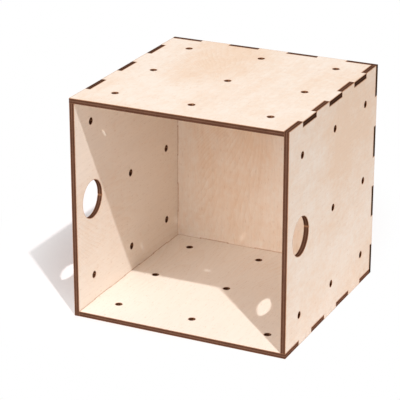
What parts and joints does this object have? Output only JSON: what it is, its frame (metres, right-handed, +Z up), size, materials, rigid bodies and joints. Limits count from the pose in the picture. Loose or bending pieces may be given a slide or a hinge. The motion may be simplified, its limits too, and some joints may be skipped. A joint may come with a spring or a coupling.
{
  "type": "open-fronted record crate",
  "caption": "Open-fronted plywood cube that carries and stores twelve-inch records, with finger-jointed walls, round hand holes and grids of bolt holes.",
  "frame": {"origin": "centre of the base, on the plane that the crate stands on", "axes": "+Z up, the open front faces -Y, +X to the right of a person who looks in at the open front"},
  "size_m": [0.35, 0.35, 0.35],
  "materials": {
    "birch_plywood": "sanded birch faces with laser-burnt edges"
  },
  "bodies": {
    "root": {"top_panel": "birch_plywood", "bottom_panel": "birch_plywood", "left_side_panel": "birch_plywood", "right_side_panel": "birch_plywood", "back_panel": "birch_plywood"}
  },
  "joints": []
}
